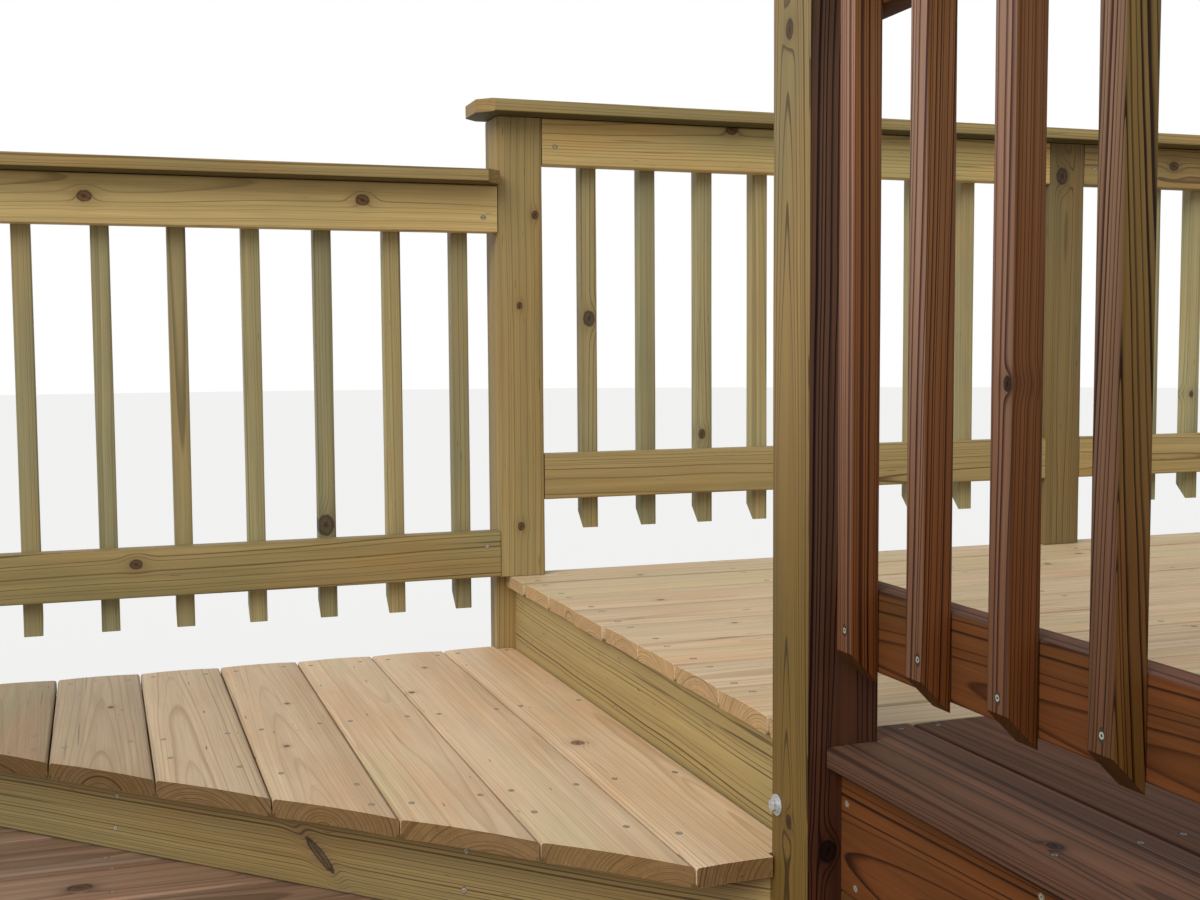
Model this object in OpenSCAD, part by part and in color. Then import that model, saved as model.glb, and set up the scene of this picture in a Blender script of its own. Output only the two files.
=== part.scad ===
/* [Lumber] */
// Side of a square post
post = 89; // [75:1:140]
// Thickness of rails, rims, joists and risers
stock = 38; // [30:1:50]
// Height of a railing's rail on edge
rail_h = 89; // [70:1:110]
// Height of rims, fascias and joists
joist_h = 140; // [120:1:185]
// Width of a deck board
board_w = 140; // [120:1:145]
// Width of a light board of the upper deck
light_w = 145; // [120:1:150]
// Thickness of a deck board and of a cap
board_t = 25; // [20:1:32]
// Side of a square baluster
baluster = 33; // [30:1:45]
// Edge radius of posts, rails and framing
ease = 3; // [1:1:5]
// Edge radius of deck boards and caps
board_ease = 5; // [2:1:8]

/* [Levels] */
// Height of one rise, from a deck's top to the next one's
rise = 146; // [140:1:180]

/* [Layout] */
// Post spacing of the railing behind the upper deck
bay = 1241; // [1000:1:1500]
// Post spacing along both legs of the triangular step
step_bay = 1277; // [1100:1:1400]
// Post spacing of the stained railing
stained_bay = 1289; // [1000:1:1500]
// From the near post's front face back to the edge of the light boards
split_in = 60; // [45:1:85]
// From joist to joist in the lower deck
lower_pitch = 394; // [300:1:450]
// From joist to joist under the step
step_pitch = 435; // [300:1:450]
// From joist to joist in the upper deck
upper_pitch = 406; // [300:1:450]

/* [Overhangs] */
// How far the deck boards stand out past a fascia
nose = 20; // [10:1:30]
// How far the deck boards stand out past a back rim
back_nose = 22; // [15:1:45]
// How far the step boards stand out past the slanted riser
riser_nose = 75; // [30:1:85]
// How far the step's square end passes the near post's back face
step_end = 11; // [5:1:20]
// How far the line of the step's slanted edge passes the near post's front face
step_past = 23; // [15:1:50]

/* [Gaps] */
// Gap between two boards of the upper deck
upper_gap = 4; // [2:1:12]
// Gap between two boards of the step
step_gap = 1; // [1:1:8]
// Gap between two boards of the lower deck
lower_gap = 5; // [2:1:10]
// Gap between two stained boards, and at their ends
stained_gap = 3; // [2:1:10]
// Gap between a board and a post leg that passes through it
leg_gap = 2; // [1:1:5]

/* [Posts] */
// Thickness of a near post's leg, outside the side fascia
side_leg = 43; // [35:1:55]

/* [Railings] */
// Top of the top rail above the upper deck
rail_top = 877; // [800:1:1000]
// Top of the top rail above the step
left_rail_top = 893; // [800:1:950]
// Clear height below the bottom rail
rail_gap = 146; // [100:1:200]
// Clear height below the stained bottom rail
stained_rail_gap = 92; // [80:1:150]
// Height of a baluster's tip above its deck
tip_gap = 82; // [50:1:90]
// Balusters in one bay
balusters = 9; // [5:1:9]
// Post face to the middle of the nearest baluster, at the left end post
left_margin = 85; // [40:1:100]
// The same from the corner post to the left
corner_margin = 66; // [40:1:100]
// The same behind the upper deck
right_margin = 106; // [40:1:110]
// The same from the middle post to the left
middle_margin = 57; // [40:1:110]
// The same on the stained railing
near_margin = 48; // [30:1:80]
// Width of a cap
cap_w = 140; // [130:1:150]
// How far a cap stands out on the deck's side
cap_nose = 51; // [30:1:60]
// How far a cap stands out past its end post
cap_end = 46; // [20:1:60]
// Clipped corner of a cap
cap_clip = 30; // [10:1:40]

/* [Hidden] */
// The origin is the middle of the corner post's foot, on the ground
leg = post - stock;
rim_y = -leg / 2;
front_y = rim_y - stock;
back_y = rim_y + leg;
post_l = -post / 2;
side_x = post_l + stock;
near_x = side_x - side_leg;
left_x = post_l - step_bay;
second_x = post_l + bay;
third_x = post_l + 2 * bay;
right_x = third_x + post;
near_y = front_y - step_bay;
end_y = near_y - stained_bay;
near_mid = near_y + post / 2;
split_y = near_y + split_in;
board_back = rim_y + back_nose;
lower_z = joist_h + board_t;
step_z = lower_z + rise;
upper_z = step_z + rise;
frame_z = upper_z - board_t - joist_h;
inner_x = side_x + stock;
back_legs = [left_x, post_l, second_x, third_x];
slant_edge = post_l + near_y - step_past;
slant_face = slant_edge + riser_nose * sqrt(2);
slant_inner = slant_face + stock * sqrt(2);
stained_rows = covering(right_x - side_x + 2 * nose, stained_gap);
far = 4 * step_bay;

light = "burlywood";
olive = "darkkhaki";
red_brown = "sienna";
brown = "rosybrown";

// A box between two opposite corners
module block(a, b) {
    translate(a) cube(b - a);
}

// The end of a piece of lumber: a rectangle with rounded corners
module lumber_end(w, h, r) {
    translate([r, 0]) square([w - 2 * r, h]);
    translate([0, r]) square([w, h - 2 * r]);
    for (x = [r, w - r], y = [r, h - r]) translate([x, y]) circle(r, $fn = 24);
}

// A piece of lumber between two opposite corners, its rounded edges along its longest side
module lumber(a, b, r = ease) {
    size = b - a;
    if (size.x >= max(size.y, size.z))
        translate(a) rotate([90, 0, 90]) linear_extrude(size.x) lumber_end(size.y, size.z, r);
    else if (size.y >= size.z)
        translate([a.x, b.y, a.z]) rotate([90, 0, 0]) linear_extrude(size.y) lumber_end(size.x, size.z, r);
    else
        translate(a) linear_extrude(size.z) lumber_end(size.x, size.y, r);
}

// A deck board between two opposite corners
module board(a, b) {
    lumber(a, b, board_ease);
}

// The legs of all posts, with the gap that a board leaves round them
module leg_holes() {
    for (x = back_legs)
        block([x - leg_gap, rim_y - leg_gap, -1], [x + post + leg_gap, back_y + leg_gap, upper_z + 1]);
    for (y = [near_y, end_y])
        block([near_x - leg_gap, y - leg_gap, -1], [side_x + leg_gap, y + post + leg_gap, upper_z + 1]);
}

// Everything behind the slanted line x + y = c
module behind(c) {
    linear_extrude(upper_z) polygon([[c - far, far], [far, c - far], [far, far]]);
}

// Where the joists of a frame start, counted from the timber that starts at a towards the one at b
function joist_rows(a, b, pitch) = let (n = floor((abs(b - a) - stock) / pitch))
    [for (i = [1:n]) a + sign(b - a) * i * pitch];

// Where the boards that cover a width start, evenly and no closer than the gap
function covering(width, gap) = let (n = floor((width + gap) / (board_w + gap)))
    [for (i = [0:n - 1]) i * (width - board_w) / (n - 1)];

// Lower deck

module lower_left_rim() {
    color(olive) lumber([left_x, end_y, 0], [left_x + stock, rim_y, joist_h]);
}

module lower_right_rim() {
    color(olive) lumber([side_x, end_y, 0], [inner_x, rim_y, joist_h]);
}

module lower_back_rim() {
    color(olive) lumber([left_x + stock, rim_y - stock, 0], [side_x, rim_y, joist_h]);
}

module lower_front_rim() {
    color(olive) lumber([left_x + stock, end_y, 0], [near_x, end_y + stock, joist_h]);
}

module lower_joists() {
    color(olive) for (x = joist_rows(side_x, left_x, lower_pitch))
        lumber([x, end_y + stock, 0], [x + stock, rim_y - stock, joist_h]);
}

module lower_deck_boards() {
    color(brown) difference() {
        for (row = covering(board_back - end_y + nose, lower_gap)) {
            y = end_y - nose + row;
            board([left_x - nose, y, joist_h], [inner_x, y + board_w, lower_z]);
        }
        leg_holes();
    }
}

// Corner step

module step_frame() {
    color(olive) intersection() {
        union() {
            lumber([left_x, rim_y - stock, lower_z], [side_x, rim_y, step_z - board_t]);
            for (y = joist_rows(rim_y - stock, near_y + post, step_pitch))
                lumber([left_x, y, lower_z], [side_x, y + stock, step_z - board_t]);
        }
        behind(slant_inner);
    }
}

module step_riser() {
    color(olive) difference() {
        intersection() {
            block([left_x, near_y + post, lower_z], [side_x, rim_y, step_z - board_t]);
            behind(slant_face);
        }
        behind(slant_inner);
    }
}

module step_boards() {
    color(light) difference() {
        intersection() {
            for (x = [side_x - step_gap / 2 : -board_w - step_gap : left_x - nose + step_gap])
                board([max(x - board_w, left_x - nose), near_y + post - step_end, step_z - board_t],
                    [x, board_back, step_z]);
            behind(slant_edge);
        }
        leg_holes();
    }
}

// Upper deck frame

module side_skirt() {
    color(red_brown) lumber([side_x, end_y, lower_z], [inner_x, rim_y, frame_z]);
}

module light_fascia() {
    color(olive) lumber([side_x, near_mid, frame_z], [inner_x, rim_y, frame_z + joist_h]);
}

module stained_fascia() {
    color(red_brown) lumber([side_x, end_y, frame_z], [inner_x, near_mid, frame_z + joist_h]);
}

module upper_back_rim() {
    color(olive) lumber([inner_x, rim_y - stock, frame_z], [right_x - stock, rim_y, frame_z + joist_h]);
}

module upper_right_rim() {
    color(olive) lumber([right_x - stock, end_y, frame_z], [right_x, rim_y, frame_z + joist_h]);
}

module upper_front_rim() {
    color(red_brown) lumber([inner_x, end_y, frame_z], [right_x - stock, end_y + stock, frame_z + joist_h]);
}

module dividing_beam() {
    color(olive) lumber([inner_x, split_y - stock, frame_z], [right_x - stock, split_y, frame_z + joist_h]);
}

module light_joists() {
    color(olive) for (x = joist_rows(side_x, right_x - stock, upper_pitch))
        lumber([x, split_y, frame_z], [x + stock, rim_y - stock, frame_z + joist_h]);
}

module stained_joists() {
    color(olive) for (y = joist_rows(split_y - stock, end_y, upper_pitch))
        lumber([inner_x, y, frame_z], [right_x - stock, y + stock, frame_z + joist_h]);
}

module support_posts() {
    color(olive) for (x = [inner_x, second_x, right_x - post], y = [end_y, split_y - post])
        lumber([x, y, 0], [x + post, y + post, frame_z]);
}

// Upper deck boards

module light_deck_boards() {
    color(light) difference() {
        for (y = [board_back : -light_w - upper_gap : split_y + upper_gap])
            board([side_x - nose, max(y - light_w, split_y), upper_z - board_t],
                [right_x + nose, y, upper_z]);
        leg_holes();
    }
}

module stained_board(i) {
    x = side_x - nose + stained_rows[i];
    board([x, end_y - nose, upper_z - board_t], [x + board_w, split_y - stained_gap, upper_z]);
}

module stained_edge_board() {
    color(red_brown) difference() {
        stained_board(0);
        leg_holes();
    }
}

module stained_deck_boards() {
    color(red_brown) for (i = [1 : len(stained_rows) - 1]) stained_board(i);
}

// Posts

// A post behind a deck: its head rests on the boards and its leg runs down outside the rim
module back_post(x, deck_z, top = rail_top) {
    difference() {
        lumber([x, front_y, 0], [x + post, back_y, deck_z + top]);
        block([x - 1, front_y - 1, -1], [x + post + 1, rim_y, deck_z]);
    }
}

// A post at the upper deck's side: its leg runs down outside the fascia
module side_post(y) {
    difference() {
        lumber([near_x, y, 0], [near_x + post, y + post, upper_z + rail_top]);
        block([side_x, y - 1, -1], [near_x + post + 1, y + post + 1, upper_z]);
    }
}

module corner_post() {
    color(olive) back_post(post_l, upper_z);
}

module middle_post() {
    color(olive) back_post(second_x, upper_z);
}

module right_end_post() {
    color(olive) back_post(third_x, upper_z);
}

module left_end_post() {
    color(olive) back_post(left_x, step_z, left_rail_top);
}

module near_post() {
    color(olive) side_post(near_y);
}

module stained_end_post() {
    color(red_brown) side_post(end_y);
}

// Railings

// A rail on edge between two posts, flush with their faces
module rail(length, z) {
    lumber([0, 0, z], [length, stock, z + rail_h]);
}

// Balusters on the rails' far face, cut off at 45 degrees below
module baluster_row(length, first, last, top = rail_top) {
    step = (length - first - last) / (balusters - 1);
    for (i = [0 : balusters - 1])
        translate([first + i * step - baluster / 2, stock, 0]) intersection() {
            lumber([0, 0, tip_gap], [baluster, baluster, top]);
            rotate([90, 0, 90]) linear_extrude(baluster)
                polygon([[0, tip_gap], [baluster, tip_gap + baluster], [baluster, top], [0, top]]);
        }
}

// A flat cap with its chosen corners clipped: each is 0 or 1, from the near left one counterclockwise
module cap(length, clips, top = rail_top) {
    corners = [[0, 0], [length, 0], [length, cap_w], [0, cap_w]];
    side = cap_clip * sqrt(2);
    translate([0, -cap_nose, top]) difference() {
        board([0, 0, 0], [length, cap_w, board_t]);
        for (i = [0:3]) if (clips[i] == 1)
            translate(corners[i]) rotate(45) cube([side, side, 3 * board_t], center = true);
    }
}

module left_side() {
    translate([left_x + post, front_y, step_z]) children();
}

module first_side() {
    translate([post_l + post, front_y, upper_z]) children();
}

module second_side() {
    translate([second_x + post, front_y, upper_z]) children();
}

// The stained railing runs towards -Y, its rails on the deck's side
module stained_side() {
    translate([near_x + post, near_y, upper_z]) rotate([0, 0, -90]) mirror([0, 1, 0]) children();
}

module left_top_rail() {
    color(olive) left_side() rail(step_bay - post, left_rail_top - rail_h);
}

module left_bottom_rail() {
    color(olive) left_side() rail(step_bay - post, rail_gap);
}

module left_balusters() {
    color(olive) left_side() baluster_row(step_bay - post, left_margin, corner_margin, left_rail_top);
}

module left_cap() {
    color(light) left_side() translate([-post - cap_end, 0, 0])
        cap(step_bay + cap_end, [1, 1, 0, 1], left_rail_top);
}

module first_top_rail() {
    color(olive) first_side() rail(bay - post, rail_top - rail_h);
}

module first_bottom_rail() {
    color(olive) first_side() rail(bay - post, rail_gap);
}

module first_balusters() {
    color(olive) first_side() baluster_row(bay - post, right_margin, middle_margin);
}

module second_top_rail() {
    color(olive) second_side() rail(bay - post, rail_top - rail_h);
}

module second_bottom_rail() {
    color(olive) second_side() rail(bay - post, rail_gap);
}

module second_balusters() {
    color(olive) second_side() baluster_row(bay - post, right_margin, right_margin);
}

module right_cap() {
    color(light) first_side() translate([-post - cap_end, 0, 0])
        cap(2 * bay + post + 2 * cap_end, [1, 1, 1, 1]);
}

module stained_top_rail() {
    color(red_brown) stained_side() rail(stained_bay - post, rail_top - rail_h);
}

module stained_bottom_rail() {
    color(red_brown) stained_side() rail(stained_bay - post, stained_rail_gap);
}

module stained_balusters() {
    color(red_brown) stained_side() baluster_row(stained_bay - post, near_margin, near_margin);
}

module stained_cap() {
    color(red_brown) stained_side() translate([-post - cap_end, 0, 0])
        cap(stained_bay + post + 2 * cap_end, [1, 1, 1, 1]);
}

lower_left_rim();
lower_right_rim();
lower_back_rim();
lower_front_rim();
lower_joists();
lower_deck_boards();
step_frame();
step_riser();
step_boards();
side_skirt();
light_fascia();
stained_fascia();
upper_back_rim();
upper_right_rim();
upper_front_rim();
dividing_beam();
light_joists();
stained_joists();
support_posts();
light_deck_boards();
stained_edge_board();
stained_deck_boards();
corner_post();
middle_post();
right_end_post();
left_end_post();
near_post();
stained_end_post();
left_top_rail();
left_bottom_rail();
left_balusters();
left_cap();
first_top_rail();
first_bottom_rail();
first_balusters();
second_top_rail();
second_bottom_rail();
second_balusters();
right_cap();
stained_top_rail();
stained_bottom_rail();
stained_balusters();
stained_cap();
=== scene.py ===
import bpy
import bmesh
import math
import random
from mathutils import Matrix, Vector


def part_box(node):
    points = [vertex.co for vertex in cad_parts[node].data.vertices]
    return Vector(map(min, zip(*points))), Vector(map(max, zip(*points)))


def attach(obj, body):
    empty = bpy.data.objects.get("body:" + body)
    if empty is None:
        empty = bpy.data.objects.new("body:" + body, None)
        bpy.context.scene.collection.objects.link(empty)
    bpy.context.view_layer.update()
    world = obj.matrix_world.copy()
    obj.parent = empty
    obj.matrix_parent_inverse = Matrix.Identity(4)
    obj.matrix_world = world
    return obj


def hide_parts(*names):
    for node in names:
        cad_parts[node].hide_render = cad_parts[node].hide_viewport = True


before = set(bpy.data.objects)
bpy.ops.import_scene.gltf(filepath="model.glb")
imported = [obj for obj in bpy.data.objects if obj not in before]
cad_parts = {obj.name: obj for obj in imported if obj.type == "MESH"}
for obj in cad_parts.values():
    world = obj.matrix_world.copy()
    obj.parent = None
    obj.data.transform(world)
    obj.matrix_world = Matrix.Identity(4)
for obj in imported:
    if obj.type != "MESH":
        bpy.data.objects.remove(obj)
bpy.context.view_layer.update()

east = Vector((1, 0, 0))
north = Vector((0, 1, 0))
up = Vector((0, 0, 1))


# ---------- camera

viewpoint = dict(
    place=(-0.7726, -2.7341, 0.8951), lens=43.36, sensor=36, turn=-19.21, tilt=85.98, roll=-0.354,
)


def setCamera():
    bpy.ops.object.camera_add(location=viewpoint["place"])
    camera = bpy.context.object
    turned = (
        Matrix.Rotation(math.radians(viewpoint["turn"]), 3, "Z")
        @ Matrix.Rotation(math.radians(viewpoint["tilt"]), 3, "X")
        @ Matrix.Rotation(math.radians(viewpoint["roll"]), 3, "Z")
    )
    camera.rotation_euler = turned.to_euler()
    camera.data.sensor_fit = "HORIZONTAL"
    camera.data.sensor_width = viewpoint["sensor"]
    camera.data.lens = viewpoint["lens"]
    bpy.context.scene.camera = camera


# ---------- nodes of a material, written as sums


def nodeMath(operation):
    # a sum or function of wires, made with one Math node
    return lambda wire, other=0.0: wire.math(operation, wire, other)


class Wire:
    # one output of a node, which can be added, multiplied and so on
    def __init__(self, sheet, socket):
        self.sheet = sheet
        self.socket = socket

    def math(self, operation, first, second=0.0):
        return self.sheet.add("Math", {"operation": operation}, {0: first, 1: second})

    __add__ = __radd__ = nodeMath("ADD")
    __sub__ = nodeMath("SUBTRACT")
    __mul__ = __rmul__ = nodeMath("MULTIPLY")
    __truediv__ = nodeMath("DIVIDE")
    __pow__ = nodeMath("POWER")
    absolute = nodeMath("ABSOLUTE")
    fraction = nodeMath("FRACT")
    floor = nodeMath("FLOOR")
    exponential = nodeMath("EXPONENT")
    atLeast = nodeMath("MAXIMUM")

    def __rsub__(self, other):
        return self.math("SUBTRACT", other, self)

    def __neg__(self):
        return self * -1.0

    def smooth(self, start, end):
        # 0 at start, 1 at end, soft between them
        return self.sheet.add(
            "MapRange",
            {"interpolation_type": "SMOOTHSTEP"},
            {"Value": self, "From Min": start, "From Max": end},
        )


class Sheet:
    # the node tree of one material or of the world; its colours are given as red, green and blue
    def __init__(self, tree):
        self.tree = tree
        self.tree.nodes.clear()

    def add(self, kind, settings={}, sockets={}, output=0):
        node = self.tree.nodes.new("ShaderNode" + kind)
        for name, value in settings.items():
            setattr(node, name, value)
        for name, value in sockets.items():
            socket = node.inputs[name]
            if isinstance(value, Wire):
                self.tree.links.new(value.socket, socket)
            else:
                socket.default_value = (*value, 1.0) if socket.type == "RGBA" else value
        return Wire(self, node.outputs[output]) if node.outputs else None

    def read(self, name):
        settings = {"attribute_type": "GEOMETRY", "attribute_name": name}
        return self.parts(self.add("Attribute", settings, {}, "Vector"))

    def parts(self, vector):
        node = self.add("SeparateXYZ", {}, {0: vector}).socket.node
        return [Wire(self, output) for output in node.outputs]

    def vector(self, operation, first, second):
        return self.add("VectorMath", {"operation": operation}, {0: first, 1: second})

    def noise(self, spot, pattern, detail=2.0, output="Fac"):
        place = self.vector("MULTIPLY", spot, waves[pattern])
        sockets = {"Vector": place, "Scale": 1.0, "Detail": detail, "Roughness": 0.55}
        return self.add("TexNoise", {"noise_dimensions": "3D"}, sockets, output)

    def blend(self, amount, first, second):
        settings = {"data_type": "RGBA", "clamp_factor": True}
        return self.add("Mix", settings, {0: amount, 6: first, 7: second}, 2)

    def cover(self, surface, height, relief, distance):
        # gives the material its surface, with a relief of this height
        bumped = {"Strength": relief, "Distance": distance, "Height": height}
        normal = self.add("Bump", {}, bumped, "Normal")
        shader = self.add("BsdfPrincipled", {}, {**surface, "Normal": normal})
        self.add("OutputMaterial", {}, {"Surface": shader})


finishes = {}  # the materials by name


def newMaterial(name):
    finishes[name] = bpy.data.materials.new(name)
    finishes[name].use_nodes = True
    return Sheet(finishes[name].node_tree)


def paint(piece, *names):
    for name in names:
        piece.data.materials.append(finishes[name])


# ---------- wood

# how many waves a metre each pattern has along the timber, across it and deep
waves = dict(
    sway=(0.9, 2.6, 2.6), ripple=(6.0, 32.0, 32.0), fibres=(8.0, 460.0, 460.0), streaks=(1.5, 75.0, 75.0),
    patches=(2.6, 9.0, 9.0), knotEdge=(90.0, 110.0, 110.0), splits=(2.4, 170.0, 170.0),
    dashes=(26.0, 240.0, 240.0), spangle=(420.0, 420.0, 420.0), rubbed=(80.0, 80.0, 80.0),
    torn=(500.0, 500.0, 500.0),
)

# early and late are the pale and dark wood of a year's ring; warm and green are patches of the treatment
woods = dict(
    newDecking=dict(
        early=(0.645, 0.485, 0.32), late=(0.43, 0.28, 0.15), warm=(0.6, 0.395, 0.232),
        green=(0.545, 0.45, 0.262), knot=(0.105, 0.058, 0.034), knotHeart=(0.3, 0.17, 0.09),
        end=(0.43, 0.27, 0.12), contrast=0.72, sway=0.02, ripple=0.0026, lateStart=0.58, streaks=0.26,
        checks=0.6, dashes=0.85, roughness=0.64, gloss=0.25, relief=0.28, edgeWear=0.52,
    ),
    treatedPine=dict(
        early=(0.345, 0.255, 0.106), late=(0.115, 0.072, 0.027), warm=(0.35, 0.222, 0.076),
        green=(0.275, 0.228, 0.096), knot=(0.035, 0.018, 0.01), knotHeart=(0.135, 0.072, 0.028),
        end=(0.3, 0.19, 0.066), contrast=0.86, sway=0.022, ripple=0.0028, lateStart=0.72, streaks=0.32,
        checks=0.7, dashes=0.45, roughness=0.62, gloss=0.25, relief=0.32, edgeWear=0.16,
    ),
    palePine=dict(
        early=(0.35, 0.3, 0.146), late=(0.13, 0.105, 0.05), warm=(0.35, 0.262, 0.112),
        green=(0.258, 0.242, 0.13), knot=(0.03, 0.02, 0.012), knotHeart=(0.11, 0.075, 0.036),
        end=(0.3, 0.23, 0.09), contrast=0.76, sway=0.014, ripple=0.001, lateStart=0.66, streaks=0.3,
        checks=0.6, dashes=0.4, roughness=0.62, gloss=0.3, relief=0.3, edgeWear=0.16,
    ),
    redStain=dict(
        early=(0.128, 0.045, 0.014), late=(0.022, 0.008, 0.005), warm=(0.145, 0.05, 0.017),
        green=(0.09, 0.044, 0.014), knot=(0.014, 0.006, 0.004), knotHeart=(0.055, 0.022, 0.011),
        end=(0.11, 0.046, 0.012), contrast=0.84, sway=0.02, ripple=0.0012, lateStart=0.64, streaks=0.42,
        checks=0.5, dashes=0.2, roughness=0.58, gloss=0.05, relief=0.34, edgeWear=0.16,
    ),
    # brushedStain: the stain on the stained balusters' faces towards ±x; its pink-grey tone is partly the
    # stain and partly a painted reflection of the sky
    brushedStain=dict(
        # the stained balusters' painted shade: darker and browner towards the foot, lighter at the head
        fade=dict(above=0.25, below=0.4, head=(1.22, 1.3, 1.3), foot=(0.56, 0.46, 0.34)),
        early=(0.27, 0.15, 0.104), late=(0.045, 0.017, 0.012), warm=(0.285, 0.138, 0.086),
        green=(0.235, 0.13, 0.076), knot=(0.016, 0.007, 0.006), knotHeart=(0.07, 0.03, 0.02),
        end=(0.165, 0.08, 0.022), contrast=0.92, sway=0.012, ripple=0.002, lateStart=0.5, streaks=0.42,
        checks=0.5, dashes=0.2, roughness=0.52, gloss=0.08, relief=0.34, edgeWear=0.16,
    ),
    darkStain=dict(
        # the near post's stained faces: painted shade towards the foot, painted light at the head
        fade=dict(above=0.45, below=0.35, head=(1.3, 1.7, 2.0), foot=(0.64, 0.54, 0.5)),
        early=(0.124, 0.058, 0.033), late=(0.018, 0.008, 0.007), warm=(0.138, 0.052, 0.026),
        green=(0.075, 0.037, 0.019), knot=(0.008, 0.004, 0.004), knotHeart=(0.04, 0.016, 0.01),
        end=(0.07, 0.03, 0.012), contrast=0.6, sway=0.014, ripple=0.0012, lateStart=0.5, streaks=0.5,
        checks=0.5, dashes=0.2, roughness=0.5, gloss=0.1, relief=0.3, edgeWear=0.16,
    ),
    oldStain=dict(
        early=(0.128, 0.063, 0.038), late=(0.024, 0.011, 0.008), warm=(0.158, 0.068, 0.042),
        green=(0.092, 0.048, 0.031), knot=(0.015, 0.009, 0.008), knotHeart=(0.05, 0.028, 0.022),
        end=(0.1, 0.044, 0.02), contrast=0.86, sway=0.018, ripple=0.0012, lateStart=0.4, streaks=0.62,
        checks=0.5, dashes=0.3, roughness=0.66, gloss=0.05, relief=0.38, edgeWear=0.3,
    ),
    # lowerStain's board edges are lighter, not darker: a painted highlight
    lowerStain=dict(
        early=(0.29, 0.185, 0.122), late=(0.12, 0.068, 0.042), warm=(0.28, 0.15, 0.092),
        green=(0.205, 0.145, 0.105), knot=(0.05, 0.028, 0.02), knotHeart=(0.12, 0.07, 0.045),
        end=(0.21, 0.11, 0.055), contrast=0.76, sway=0.018, ripple=0.0014, lateStart=0.36, streaks=0.5,
        checks=0.5, dashes=0.3, roughness=0.52, gloss=0.25, relief=0.3, edgeWear=-0.4,
    ),
)


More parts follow.
